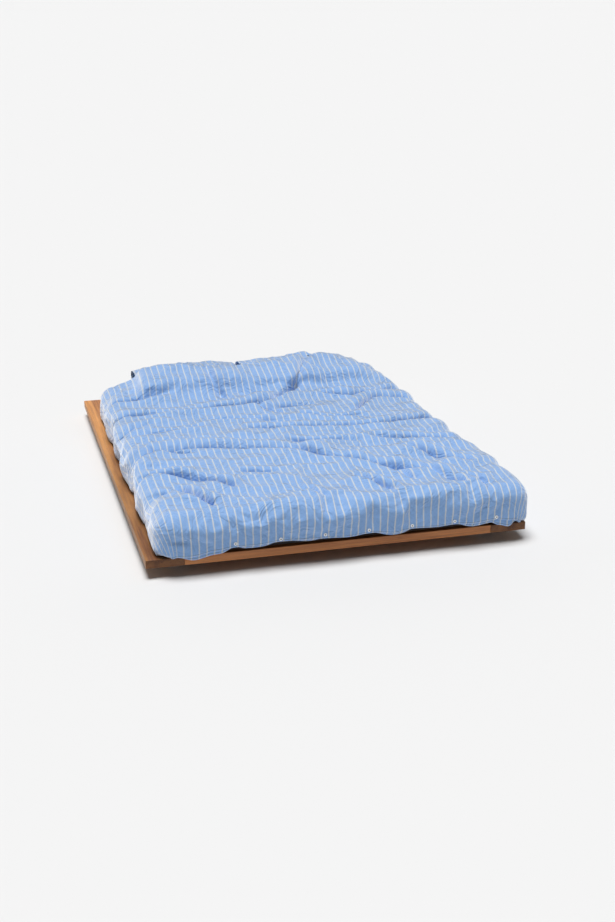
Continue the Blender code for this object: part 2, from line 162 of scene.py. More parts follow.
def wood(name, along, light, mid, dark, rough, painted_light_toward_head=1.0):
    """Oiled wood with its grain along one axis: stretched noise for rings, finer noise for pores and flecks.

    The pattern is read from places in metres, and is 16 to 38 times longer along the grain than across it.
    Towards the head the tone eases from 0.9 to paler times its own: painted light, for the light from
    behind.
    """
    material, tree, output = new_material(name)
    place = add(tree, "ShaderNodeTexCoord").outputs["Object"]
    noises = []
    for across_grain, along_grain, values in (
        (9.0, 0.55, {"Scale": 2.2, "Detail": 3.0, "Roughness": 0.5, "Distortion": 0.6}),
        (150.0, 4.0, {"Scale": 1.0, "Detail": 4.0, "Roughness": 0.6}),
        (900.0, 30.0, {"Scale": 1.0, "Detail": 2.0}),
    ):
        scale = [across_grain] * 3
        scale[along] = along_grain
        squeezed = add(tree, "ShaderNodeMapping", values={"Scale": scale}, links={"Vector": place})
        noises.append(add(tree, "ShaderNodeTexNoise", values=values, links={"Vector": squeezed.outputs[0]}))
    ring, streak, fleck = noises
    blend = add(tree, "ShaderNodeMath", TIMES_PLUS, {1: 0.55},
                {0: streak.outputs["Fac"], 2: ring.outputs["Fac"]})
    tone = add(tree, "ShaderNodeMapRange", values={"From Min": 0.58, "From Max": 0.98},
               links={"Value": blend.outputs[0]})
    low = add(tree, "ShaderNodeMix", COLOURS, {"A": linear(dark), "B": linear(mid)},
              {"Factor": tone.outputs[0]})
    high = add(tree, "ShaderNodeMix", COLOURS, {7: linear(light)},
               {6: low.outputs[2], "Factor": tone.outputs[0]})
    pits = add(tree, "ShaderNodeMapRange", values={"From Min": 0.35, "From Max": 0.5, "To Min": 0.80,
                                                   "To Max": 1.0},
               links={"Value": fleck.outputs["Fac"]})
    split = add(tree, "ShaderNodeSeparateXYZ", links={0: place})
    # Painted light: towards the head the tone is raised to paler times its own, where the light from behind
    # falls.
    length = add(tree, "ShaderNodeMapRange", EASED,
                 {"From Min": -0.5, "From Max": 1.3, "To Min": 0.9 if painted_light_toward_head > 1 else 1.0, "To Max": painted_light_toward_head},
                 {"Value": split.outputs["Y"]})
    shade = add(tree, "ShaderNodeMath", TIMES, links={0: pits.outputs[0], 1: length.outputs[0]})
    pitted = add(tree, "ShaderNodeVectorMath", {"operation": "SCALE"},
                 links={0: high.outputs[2], "Scale": shade.outputs[0]})
    # The cut ends are darker, because end grain drinks more oil.
    normal = add(tree, "ShaderNodeNewGeometry").outputs["True Normal"]
    facing = add(tree, "ShaderNodeVectorMath", {"operation": "DOT_PRODUCT"},
                 {1: [float(i == along) for i in range(3)]}, {0: normal})
    turned = add(tree, "ShaderNodeMath", {"operation": "ABSOLUTE"}, links={0: facing.outputs["Value"]})
    end = add(tree, "ShaderNodeMapRange", values={"From Min": 0.7, "From Max": 0.9},
              links={"Value": turned.outputs[0]})
    end_colour = add(tree, "ShaderNodeVectorMath", TIMES, {1: (0.52, 0.46, 0.46)},
                     {0: pitted.outputs[0]})
    colour = add(tree, "ShaderNodeMix", COLOURS,
                 links={"Factor": end.outputs[0], 6: pitted.outputs[0], 7: end_colour.outputs[0]})
    polish = add(tree, "ShaderNodeMapRange", values={"From Min": 0.3, "From Max": 0.7,
                                                     "To Min": rough - 0.06,
                                                     "To Max": rough + 0.1},
                 links={"Value": streak.outputs["Fac"]})
    relief = add(tree, "ShaderNodeBump", values={"Strength": 0.35, "Distance": 0.0006},
                 links={"Height": streak.outputs["Fac"]})
    shader = add(tree, "ShaderNodeBsdfPrincipled", values={"IOR": 1.47, "Specular IOR Level": 0.42},
                 links={"Base Color": colour.outputs[2], "Roughness": polish.outputs[0],
                        "Normal": relief.outputs[0]})
    tree.links.new(shader.outputs[0], output.inputs["Surface"])
    return material


def dress(nodes, material):
    """Gives CAD nodes a finished material in place of their plain one."""
    for name in nodes:
        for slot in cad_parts[name].material_slots:
            slot.material = material


def named(start):
    """The CAD nodes whose names begin with start."""
    return sorted(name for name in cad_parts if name.startswith(start))


# The side boards carry painted light: up to 1.7 times paler towards the head, where the light from behind
# falls.
boards_along = wood("oiled softwood, grain along the bed", 1, "#b88148", "#9c6632", "#734421", 0.46, 1.7)
boards_across = wood("oiled softwood, grain across the bed", 0, "#d58f57", "#b97441", "#8b4e28", 0.46)
beech_across = wood("plain beech, grain across the bed", 0, "#d8b48a", "#c99f74", "#b0835a", 0.55)
beech_along = wood("plain beech, grain along the bed", 1, "#d8b48a", "#c99f74", "#b0835a", 0.55)
dress(["side_board_left", "side_board_right"], boards_along)
dress(["foot_board", "head_board"], boards_across)
dress(named("slat_") + named("bearer_"), beech_across)
dress(["ledger_left", "ledger_right", "centre_beam"], beech_along)

# ---------------------------------------------------------------- corner plates and floor pads
# Four flat steel plates, stamped and zinc plated, screw up under the corner joints. A strip of pressed
# wool felt is glued under each bearer so it doesn't mark the floor.
zinc, tree, output = new_material("zinc plated steel, stamped")
place = add(tree, "ShaderNodeTexCoord").outputs["Object"]
spangle = add(tree, "ShaderNodeTexNoise", values={"Scale": 220.0, "Detail": 3.0}, links={"Vector": place})
tint = add(tree, "ShaderNodeMix", COLOURS, {6: linear("#9fa3a6"), 7: linear("#c6c8ca")},
           {"Factor": spangle.outputs["Fac"]})
rough = add(tree, "ShaderNodeMapRange", values={"To Min": 0.32, "To Max": 0.5},
            links={"Value": spangle.outputs["Fac"]})
shader = add(tree, "ShaderNodeBsdfPrincipled", values={"Metallic": 1.0},
             links={"Base Color": tint.outputs[2], "Roughness": rough.outputs[0]})
tree.links.new(shader.outputs[0], output.inputs["Surface"])
dress(named("corner_plate"), zinc)


def fibrous(name, dark, light, fine, coarse, depth, roughness):
    """Matt cloth or felt: two close tones by fine noise, and relief of that depth by coarse noise."""
    material, tree, output = new_material(name)
    place = add(tree, "ShaderNodeTexCoord").outputs["Object"]
    weave = add(tree, "ShaderNodeTexNoise", values=fine, links={"Vector": place})
    puff = add(tree, "ShaderNodeTexNoise", values=coarse, links={"Vector": place})
    tint = add(tree, "ShaderNodeMix", COLOURS, {6: linear(dark), 7: linear(light)},
               {"Factor": weave.outputs["Fac"]})
    relief = add(tree, "ShaderNodeBump", values={"Strength": 0.5, "Distance": depth},
                 links={"Height": puff.outputs["Fac"]})
    shader = add(tree, "ShaderNodeBsdfPrincipled", values={"Roughness": roughness, "Sheen Weight": 0.2},
                 links={"Base Color": tint.outputs[2], "Normal": relief.outputs[0]})
    tree.links.new(shader.outputs[0], output.inputs["Surface"])
    return material


FIBRES = {"Scale": 700.0, "Detail": 6.0, "Roughness": 0.7}
felt = fibrous("pressed grey wool felt", "#5a5a5c", "#83838a", FIBRES, FIBRES, 0.0008, 0.95)
dress(named("felt_"), felt)

# ---------------------------------------------------------------- mattress
# A thin foam mattress in charcoal ticking. The cover is knitted cloth stretched over the foam, with a corded
# seam round the top and the bottom edge. Its underside, a paler non-woven cloth, is drawn in the same
# ticking.
cover_low, cover_high = (np.array(c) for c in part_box("mattress_cover"))
MATTRESS_TOP = cover_high[2]
MATTRESS_CORNER = 0.055
PIPING = 0.0022  # radius of the cord in the seams, and how far the cloth lies inside it
LOOP_POINTS = 360


def added_up(steps):
    """How far along a line each of its points is, from the lengths of its steps."""
    return np.concatenate([[0], np.cumsum(steps)])


def rounded_loop(low, high, radius, points):
    """Points round a rectangle with round corners, evenly spaced by length, anticlockwise from above."""
    corners = [(high[0], low[1], -90), (high[0], high[1], 0), (low[0], high[1], 90), (low[0], low[1], 180)]
    outline = []
    for (cx, cy, start), (sx, sy) in zip(corners, [(-1, 1), (-1, -1), (1, -1), (1, 1)]):
        angle = np.radians(start + np.linspace(0, 90, 17))
        outline.append(np.stack([cx + sx * radius + radius * np.cos(angle),
                                 cy + sy * radius + radius * np.sin(angle)], -1))
    outline = np.concatenate(outline + [outline[0][:1]])
    length = added_up(np.linalg.norm(np.diff(outline, axis=0), axis=1))
    at = np.linspace(0, length[-1], points, endpoint=False)
    return np.stack([np.interp(at, length, outline[:, i]) for i in (0, 1)], -1)


def filled_rings(rings, turned_over=False):
    """Faces between rings of points, and one face over the first and the last ring."""
    count = len(rings[0])
    faces = []
    for level in range(len(rings) - 1):
        a = level * count + np.arange(count)
        b = level * count + (np.arange(count) + 1) % count
        faces += np.stack([a, b, b + count, a + count], -1).tolist()
    faces.append(list(range(count))[::-1])
    faces.append(list(range((len(rings) - 1) * count, len(rings) * count)))
    return [face[:1] + face[:0:-1] for face in faces] if turned_over else faces


ticking, tree, output = new_material("charcoal knitted mattress ticking")
place = add(tree, "ShaderNodeTexCoord").outputs["Object"]
# The knit's ribs are 1.2 mm apart; they are drawn 3 mm apart so they show.
rib = add(tree, "ShaderNodeTexWave", {"wave_type": "BANDS", "bands_direction": "DIAGONAL"},
          {"Scale": 105.0, "Distortion": 0.6, "Detail": 1.0}, {"Vector": place})
fluff = add(tree, "ShaderNodeTexNoise", values={"Scale": 420.0, "Detail": 4.0}, links={"Vector": place})
mixed = add(tree, "ShaderNodeMath", TIMES_PLUS, {1: 0.5}, {0: rib.outputs["Fac"], 2: fluff.outputs["Fac"]})
level = add(tree, "ShaderNodeMapRange", values={"From Min": 0.3, "From Max": 1.2},
            links={"Value": mixed.outputs[0]})
tint = add(tree, "ShaderNodeMix", COLOURS, {6: linear("#3a3434"), 7: linear("#5b5453")},
           {"Factor": level.outputs[0]})
relief = add(tree, "ShaderNodeBump", values={"Strength": 0.5, "Distance": 0.001},
             links={"Height": mixed.outputs[0]})
shader = add(tree, "ShaderNodeBsdfPrincipled", values={"Roughness": 0.9, "Sheen Weight": 0.15},
             links={"Base Color": tint.outputs[2], "Normal": relief.outputs[0]})
tree.links.new(shader.outputs[0], output.inputs["Surface"])

# The sides of the filled cover bulge a little between the seams, and its top dips slightly inside them.
levels = [(-0.012, 0.0), (-0.004, 0.004), (0.0, 0.012), (0.002, 0.035), (0.002, 0.085), (0.0, 0.108),
          (-0.004, 0.1165), (-0.012, 0.1195), (-0.06, 0.119), (-0.2, 0.1185), (-0.45, 0.118)]
bottom = cover_low[2]
rings = []
for out, up in levels:
    loop = rounded_loop(cover_low[:2] - out + PIPING, cover_high[:2] + out - PIPING,
                        max(MATTRESS_CORNER + out, 0.004), LOOP_POINTS)
    height = np.full((len(loop), 1), bottom + min(up, MATTRESS_TOP - bottom - 0.0006))
    rings.append(np.hstack([loop, height]))
mattress = new_piece("mattress_filled_cover", np.concatenate(rings), filled_rings(rings), ticking)
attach(mattress, "mattress")
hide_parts("mattress_core", "mattress_cover", "mattress_base_panel")


def cord_along(name, path, radius, material, sides=8):
    """A closed cord: a circle of points carried round a level loop, square to its direction."""
    ahead = np.roll(path, -1, axis=0) - np.roll(path, 1, axis=0)
    ahead /= np.linalg.norm(ahead, axis=1, keepdims=True)
    side = np.stack([ahead[:, 1], -ahead[:, 0], np.zeros(len(path))], -1)
    angle = np.linspace(0, 2 * np.pi, sides, endpoint=False)[None, :, None]
    ring = np.cos(angle) * side[:, None] + np.sin(angle) * np.array([0, 0, 1.0])
    points = path[:, None] + radius * ring
    i, j = np.meshgrid(np.arange(len(path)), np.arange(sides), indexing="ij")
    here, ahead_of = i * sides, (i + 1) % len(path) * sides
    after = (j + 1) % sides
    faces = np.stack([here + j, ahead_of + j, ahead_of + after, here + after], -1).reshape(-1, 4)
    return new_piece(name, points, faces, material)


for name, up in (("mattress_top_piping", 0.1125), ("mattress_bottom_piping", 0.0045)):
    loop = rounded_loop(cover_low[:2] + PIPING, cover_high[:2] - PIPING, MATTRESS_CORNER, LOOP_POINTS)
    path = np.hstack([loop, np.full((LOOP_POINTS, 1), bottom + up)])
    piping = cord_along(name, path, PIPING, ticking)
    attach(piping, "mattress")

# ---------------------------------------------------------------- pillows
# Two soft pillows in housewife cases: a white cotton insert, and a striped cotton bag round it that is sewn
# shut at the right and stands open at the left with a wide hem, so its mouth gapes and shows dark inside.
STRIPE_PITCH = 0.031
STRIPE_WIDTH = 0.0056
BLUE = "#80aae0"
WHITE = "#c6ced6"
SEAM_UP = 0.050  # height of a pillow's end seams over the mattress
SEAM_HALF = 0.005  # half its thickness there


def striped_cotton(name):
    """Striped cotton: white yarn stripes on blue, read from the cloth's own flat sizes in metres.

    A stripe shows where the flat place, in pitches, is within half a stripe of a whole number. Threads are
    0.4 mm apart and drawn 1.2 mm apart so they show. Small crumples are two layers of noise.
    """
    material, tree, output = new_material(name)
    flat = add(tree, "ShaderNodeUVMap", {"uv_map": "flat"}).outputs[0]
    split = add(tree, "ShaderNodeSeparateXYZ", links={0: flat})
    wobble = add(tree, "ShaderNodeTexNoise", values={"Scale": 30.0, "Detail": 2.0}, links={"Vector": flat})
    shift = add(tree, "ShaderNodeMath", TIMES_PLUS, {1: 0.0006},
                {0: wobble.outputs["Fac"], 2: split.outputs["X"]})
    pitches = add(tree, "ShaderNodeMath", {"operation": "DIVIDE"}, {1: STRIPE_PITCH}, {0: shift.outputs[0]})
    away = add(tree, "ShaderNodeMath", {"operation": "PINGPONG"}, {1: 0.5}, {0: pitches.outputs[0]})
    edge = STRIPE_WIDTH / 2 / STRIPE_PITCH
    stripe = add(tree, "ShaderNodeMapRange", values={"From Min": edge - 0.02, "From Max": edge + 0.02,
                                                     "To Min": 1.0, "To Max": 0.0},
                 links={"Value": away.outputs[0]})
    yarns = []
    for scale in ((840.0, 60.0, 1.0), (60.0, 840.0, 1.0)):
        drawn_out = add(tree, "ShaderNodeMapping", values={"Scale": scale}, links={"Vector": flat})
        yarns.append(add(tree, "ShaderNodeTexNoise", values={"Scale": 1.0, "Detail": 1.0},
                         links={"Vector": drawn_out.outputs[0]}))
    threads = add(tree, "ShaderNodeMath", {"operation": "ADD"},
                  links={0: yarns[0].outputs["Fac"], 1: yarns[1].outputs["Fac"]})
    uneven = add(tree, "ShaderNodeMapRange", values={"From Min": 0.6, "From Max": 1.4, "To Min": 0.88,
                                                     "To Max": 1.12},
                 links={"Value": threads.outputs[0]})
    colour = add(tree, "ShaderNodeMix", COLOURS, {6: linear(BLUE), 7: linear(WHITE)},
                 {"Factor": stripe.outputs[0]})
    # The hem is stitched 6 mm from its edge; the thread pulls a thin groove, and its shade is painted in as
    # a darker line.
    from_stitch = add(tree, "ShaderNodeMath", {"operation": "SUBTRACT"}, {1: 0.006}, {0: split.outputs["Y"]})
    off_stitch = add(tree, "ShaderNodeMath", {"operation": "ABSOLUTE"}, links={0: from_stitch.outputs[0]})
    painted_stitch_shade = add(tree, "ShaderNodeMapRange", values={"From Min": 0.0006, "From Max": 0.0016, "To Min": 0.55,
                                                     "To Max": 1.0},
                 links={"Value": off_stitch.outputs[0]})
    tone = add(tree, "ShaderNodeMath", TIMES, links={0: uneven.outputs[0], 1: painted_stitch_shade.outputs[0]})
    woven = add(tree, "ShaderNodeVectorMath", {"operation": "SCALE"},
                links={0: colour.outputs[2], "Scale": tone.outputs[0]})
    crumple = add(tree, "ShaderNodeTexNoise", values={"Scale": 22.0, "Detail": 4.0, "Roughness": 0.55,
                                                      "Distortion": 0.5},
                  links={"Vector": flat})
    sharp = add(tree, "ShaderNodeTexNoise", values={"Scale": 9.0, "Detail": 3.0, "Roughness": 0.5,
                                                    "Distortion": 1.2},
                links={"Vector": flat})
    fold = add(tree, "ShaderNodeMath", {"operation": "PINGPONG"}, {1: 0.09}, {0: sharp.outputs["Fac"]})
    folded = add(tree, "ShaderNodeMath", TIMES_PLUS, {1: 8.0},
                 {0: fold.outputs[0], 2: crumple.outputs["Fac"]})
    height = add(tree, "ShaderNodeMath", TIMES_PLUS, {1: 0.03},
                 {0: threads.outputs[0], 2: folded.outputs[0]})
    relief = add(tree, "ShaderNodeBump", values={"Strength": 0.8, "Distance": 0.004},
                 links={"Height": height.outputs[0]})
    shader = add(tree, "ShaderNodeBsdfPrincipled",
                 values={"Roughness": 0.7, "Specular IOR Level": 0.5, "Sheen Weight": 1.0,
                         "Sheen Roughness": 0.5},
                 links={"Base Color": woven.outputs[0], "Normal": relief.outputs[0]})
    tree.links.new(shader.outputs[0], output.inputs["Surface"])
    return material


stripes = striped_cotton("striped cotton percale")
case_stripes = striped_cotton("striped cotton pillow case")
white_cotton = fibrous("white cotton pillow ticking", "#d9d8d2", "#f1f0ec", {"Scale": 500.0, "Detail": 3.0},
                       {"Scale": 18.0, "Detail": 3.0}, 0.004, 0.9)


def make_cloth(piece, flat, thickness, outside):
    """Gives a sheet its thickness, and writes its vertices' flat places in metres to the UV map named flat.

    outside is 1 where all of the thickness is outside the skin, and 0 where half of it is.
    """
    layer = piece.data.uv_layers.new(name="flat")
    corner = np.zeros(len(piece.data.loops), np.int64)
    piece.data.loops.foreach_get("vertex_index", corner)
    layer.data.foreach_set("uv", np.asarray(flat)[corner].ravel().astype(np.float32))
    wall = piece.modifiers.new("cloth thickness", "SOLIDIFY")
    wall.thickness = thickness
    wall.offset = outside


def pillow_surface(x, turn, low, high, growth):
    """A pillow's skin at x along it and turn round it, inside its box.

    Across x it is an ellipse. Its height swells quickly from the end seams, as (1 - share^5)^0.5, and its
    depth pulls in between the corners.
    """
    centre, half = (low + high) / 2, (high - low) / 2
    share = np.clip(np.abs(x - centre[0]) / half[0], 0, 1)
    swell = (1 - share**5) ** 0.5
    waist = 0.012 * np.sin(np.pi * (1 - share))
    depth = half[1] * (0.97 + 0.03 * share**3) * (1 - 0.10 * share**12) - waist + growth
    seam = low[2] + SEAM_UP
    above = SEAM_HALF + (high[2] - seam - SEAM_HALF) * swell
    below = SEAM_HALF + (seam - low[2] - SEAM_HALF) * swell
    sine, cosine = np.sin(turn), np.cos(turn)
    sharp = np.sign(cosine) * np.abs(cosine) ** 0.82
    y = centre[1] + depth * sharp
    tall = np.where(sine > 0, above, below)
    z = seam + (tall + growth) * np.sign(sine) * np.abs(sine) ** 0.9
    return x + 0 * turn, y, z


def crumples(x, y, seed, size, count=14):
    """Soft random creases, about -1 to 1: sines of random direction and phase, waves about size long."""
    rng = np.random.default_rng(seed)
    total = 0
    for _ in range(count):
        angle, phase = rng.uniform(0, np.pi), rng.uniform(0, 2 * np.pi)
        step = 2 * np.pi / (size * rng.uniform(0.6, 1.8))
        total = total + np.sin(step * (x * np.cos(angle) + y * np.sin(angle)) + phase)
    return total / np.sqrt(count)


PILLOWS = {}
for side in ("left", "right"):
    low, high = (np.array(c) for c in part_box(f"pillow_{side}_insert"))
    case_low, case_high = (np.array(c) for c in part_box(f"pillow_{side}_case"))
    # The left pillow is pushed in a little from the bed's edge; the right one stays plump up to its mouth.
    pushed, plump, flatten = (0.048, 0.050, 0.22) if side == "left" else (0.0, 0.100, 0.06)
    low[0] += pushed
    case_low[0] += pushed
    PILLOWS[side] = (low, high, plump)

    # The insert, a white bag of filling, closed at both ends.
    turns = np.linspace(0, 2 * np.pi, 49)[:-1]
    share = np.sin(np.linspace(-np.pi / 2, np.pi / 2, 41))
    stations = (low[0] + high[0]) / 2 + share * ((high[0] - low[0]) / 2 - 0.002)
    x, turn = np.meshgrid(stations, turns, indexing="ij")
    points = np.stack(pillow_surface(x, turn, low, high, -0.011), -1)
    insert = new_piece(f"pillow_{side}_filling", points, filled_rings(points, turned_over=True),
                       white_cotton)
    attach(insert, f"pillow_{side}")
    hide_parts(f"pillow_{side}_insert")

    # The case, a bag that follows the insert loosely, with its own creases and a gaping mouth at the left.
    turns = np.linspace(0, 2 * np.pi, 121)
    mouth = case_low[0] - 0.012
    stations = mouth + (case_high[0] - 0.004 - mouth) * (0.5 - 0.5 * np.cos(np.linspace(0, np.pi, 110)))
    stations[1:9] = mouth + 0.006 * np.arange(1, 9)
    least = mouth + 0.052 + 0.0009 * np.arange(len(stations) - 9)
    stations[9:] = np.maximum.accumulate(np.maximum(stations[9:], least))
    x, turn = np.meshgrid(stations, turns, indexing="ij")
    held = np.clip(x, low[0] + plump, None)
    px, py, pz = pillow_surface(held, turn, low, high, 0.001)
    seed = 3 if side == "left" else 8
    creased = 0.0035 * crumples(x, py * 2.2, seed, 0.10) + 0.0018 * crumples(x, py, seed + 1, 0.03)
    pz = pz + np.clip(np.sin(turn), 0, 1) * creased
    past = np.clip((low[0] + plump - x) / 0.08, 0, 1)
    middle = low[2] + 0.055
    flare = 0.010 * past * np.sin(3 * turn + 1.3) * np.abs(np.sin(turn))
    pz = middle + (pz - middle) * (1 - flatten * past) + flare
    pz = np.maximum(pz, MATTRESS_TOP + 0.0015)
    closing = np.clip((x - (high[0] - 0.03)) / 0.03, 0, 1)
    pz = middle + (pz - middle) * (1 - 0.75 * closing**2)
    points = np.stack([x, py, pz], -1)
    girth = added_up(np.linalg.norm(np.diff(points[len(stations) // 2], axis=0), axis=1))
    flat = np.stack([x, np.broadcast_to(girth, x.shape)], -1)
    case = new_piece(f"pillow_{side}_striped_case", points, grid_faces(*x.shape)[:, ::-1], case_stripes)
    make_cloth(case, flat.reshape(-1, 2), 0.0012, 1)
    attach(case, f"pillow_{side}")
    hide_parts(f"pillow_{side}_case")

# ---------------------------------------------------------------- duvet
# A 2.00 by 2.20 m duvet thrown loosely over the bed: a striped cotton cover of two panels, sewn on three
# sides and buttoned at the foot, over a thin quilted filling. It sits to the right, so that side is tucked
# under itself on the board, and it was pushed up from the foot, so it lies in rolls across the bed.
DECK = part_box("side_board_left")[1].z
COVER_WIDTH = 2.00
COVER_LENGTH = 2.20
CLOTH_LEFT = -0.892  # flat place of the left edge, from the middle of the bed
CLOTH_RIGHT = CLOTH_LEFT + COVER_WIDTH
TUCK_FROM = 0.905  # flat place where the right side reaches the board and turns under
EDGE_ROUND = 0.075  # the filling rounds over the mattress edge
FOOT_FACE = -1.1205  # where the duvet's face at the foot hangs
SPACING = 0.020  # between points of the cloth as it is simulated
CLOTH_OVER = 0.004  # how far the cloth starts above what it lies on
CORNER_ROUND = 0.07  # corners of the duvet's outline at the foot
FALL_STEPS = 36
LONGER = 0.035  # how much longer the cloth is than its first shape, so it has to crease


def eased(t):
    """0 below 0, 1 above 1, and 3t^2 - 2t^3 between."""
    t = np.clip(t, 0, 1)
    return t * t * (3 - 2 * t)


def curve_of(knots):
    """A smooth function through given knots (at, value), eased by 3t^2 - 2t^3 between each two."""
    at, value = np.array(knots, float).T

    def read(x):
        i = np.clip(np.searchsorted(at, x) - 1, 0, len(at) - 2)
        t = np.clip((x - at[i]) / (at[i + 1] - at[i]), 0, 1)
        return value[i] + (value[i + 1] - value[i]) * t * t * (3 - 2 * t)

    return read


left_face = curve_of([(-1.2, -0.755), (-0.98, -0.752), (-0.81, -0.742), (-0.66, -0.755), (-0.50, -0.750),
                      (-0.41, -0.738), (-0.24, -0.752), (-0.06, -0.748), (0.01, -0.736), (0.14, -0.754),
                      (0.27, -0.738), (0.42, -0.756), (0.54, -0.744), (0.70, -0.750), (0.90, -0.738),
                      (1.1, -0.73)])
right_face = curve_of([(-1.2, 0.812), (-1.0, 0.815), (-0.85, 0.806), (-0.65, 0.812), (-0.45, 0.785),
                       (-0.23, 0.775), (0.05, 0.760), (0.27, 0.765), (0.45, 0.745), (0.60, 0.755),
                       (0.80, 0.745), (1.1, 0.74)])
hem_height = curve_of([(-0.80, 0.027), (-0.70, 0.010), (-0.62, 0.005), (-0.52, 0.020), (-0.44, 0.028),
                       (-0.36, 0.026), (-0.26, 0.033), (-0.07, 0.027), (0.02, 0.022), (0.12, 0.030),
                       (0.22, 0.018), (0.30, 0.030), (0.40, 0.026), (0.47, 0.030), (0.56, 0.024),
                       (0.66, 0.032), (0.73, 0.022), (0.80, 0.012)])
head_line = curve_of([(-0.95, 0.97), (-0.66, 0.97), (-0.60, 0.76), (-0.54, 0.68), (-0.46, 0.70),
                      (-0.34, 0.67), (-0.25, 0.64), (-0.12, 0.64), (0.00, 0.66), (0.10, 0.74), (0.22, 0.80),
                      (0.40, 0.82), (0.95, 0.86)])


def pillow_height(x, y, side):
    """Top of one pillow at (x, y): its half ellipse across, scaled by its swell along; zero beside it."""
    low, high, plump = PILLOWS[side]
    centre, half = (low + high) / 2, (high - low) / 2
    share = np.abs(np.maximum(x, low[0] + plump * (x > low[0] - 0.010)) - centre[0]) / half[0]
    share = np.where(x > low[0] - 0.010, share, 2.0)
    swell = (1 - np.clip(share, 0, 1) ** 5) ** 0.5
    across = np.clip(1 - ((y - centre[1]) / half[1]) ** 2, 0, 1) ** 0.45
    seam = low[2] + SEAM_UP
    height = seam + (SEAM_HALF + (high[2] - seam - SEAM_HALF) * swell) * across
    return np.where((share < 1) & (across > 0), height, 0)


def support(x, y):
    """What the duvet lies on: the mattress top, or a pillow where that is higher."""
    return np.maximum(MATTRESS_TOP, np.maximum(pillow_height(x, y, "left"), pillow_height(x, y, "right")))


# The creases of the thrown duvet as drawn: points along each, how deep, and how wide, in metres.
CREASES = [
    ([(-0.80, 0.27), (-0.52, 0.23), (-0.34, 0.24), (-0.12, 0.26), (0.06, 0.33), (0.22, 0.50), (0.34, 0.74)],
     0.040, 0.040),
    ([(-0.62, -0.05), (-0.50, -0.04), (-0.36, -0.02)], 0.022, 0.030),
    ([(-0.80, -0.42), (-0.60, -0.30), (-0.44, -0.29), (-0.26, -0.36), (-0.06, -0.40), (0.08, -0.53),
      (0.23, -0.65), (0.42, -0.80)], 0.034, 0.040),
    ([(-0.14, -0.08), (0.00, -0.12), (0.08, -0.13), (0.28, -0.15), (0.45, -0.18), (0.72, -0.12)], 0.026,
     0.034),
    ([(0.34, 0.36), (0.44, 0.30), (0.60, 0.34), (0.74, 0.40)], 0.030, 0.036),
    ([(0.40, 0.06), (0.47, 0.16), (0.55, 0.23), (0.70, 0.20)], 0.028, 0.032),
    ([(-0.02, 0.24), (0.04, 0.10)], 0.016, 0.026),
    ([(0.04, 0.19), (0.12, 0.20), (0.24, 0.24)], 0.016, 0.026),
    ([(0.14, 0.06), (0.24, 0.00), (0.40, -0.04)], 0.014, 0.026),
    ([(0.36, -0.35), (0.53, -0.39), (0.68, -0.46)], 0.020, 0.030),
    ([(0.00, -0.29), (0.11, -0.34), (0.30, -0.38)], 0.016, 0.026),
    ([(0.46, -0.52), (0.55, -0.64), (0.66, -0.78)], 0.024, 0.036),
    ([(0.14, -0.84), (0.20, -0.93), (0.25, -1.02)], 0.018, 0.026),
    ([(0.24, -0.68), (0.33, -0.80), (0.38, -0.92)], 0.018, 0.028),
    ([(0.46, -0.82), (0.50, -0.92), (0.55, -1.02)], 0.018, 0.026),
    ([(-0.66, -0.28), (-0.55, -0.35), (-0.46, -0.37)], 0.016, 0.026),
    ([(-0.72, -0.56), (-0.60, -0.63), (-0.48, -0.70), (-0.38, -0.82)], 0.026, 0.032),
    ([(-0.60, -0.80), (-0.55, -0.92), (-0.50, -1.00)], 0.026, 0.028),
    ([(-0.30, -0.63), (-0.18, -0.68)], 0.012, 0.022),
    ([(-0.80, -0.74), (-0.66, -0.82)], 0.012, 0.024),
    ([(-0.80, 0.02), (-0.70, 0.03), (-0.58, 0.08)], 0.016, 0.030),
    ([(-0.30, 0.08), (-0.10, 0.06), (-0.02, 0.00)], 0.012, 0.030),
    ([(-0.74, 0.50), (-0.58, 0.46), (-0.40, 0.50)], 0.016, 0.034),
    ([(-0.16, 0.40), (-0.20, 0.50), (-0.22, 0.62)], 0.014, 0.030),
    ([(0.60, -0.95), (0.64, -1.04)], 0.014, 0.024),
    ([(-0.10, -0.92), (-0.06, -1.03)], 0.012, 0.024),
]


def beside(points, x, y):
    """For each place: its distance to a drawn crease, its side, 1 towards the head, and the depth there.

    The depth is a share of the crease's full depth, which dies at its ends.
    """
    points = np.array(points)
    nearest = np.full(np.shape(x), 9.0)
    side = np.zeros(np.shape(x))
    along = np.zeros(np.shape(x))
    parts = len(points) - 1
    for i in range(parts):
        a, run = points[i], points[i + 1] - points[i]
        t = np.clip(((x - a[0]) * run[0] + (y - a[1]) * run[1]) / (run @ run), 0, 1)
        dx, dy = x - a[0] - t * run[0], y - a[1] - t * run[1]
        d = np.hypot(dx, dy)
        closer = d < nearest
        nearest = np.where(closer, d, nearest)
        side = np.where(closer, np.sign(run[0] * dy - run[1] * dx) * np.sign(run[0] + 1e-9), side)
        along = np.where(closer, (i + t) / parts, along)
    return nearest, side, np.clip(np.minimum(along, 1 - along) * 5 + 0.25, 0, 1) ** 0.7


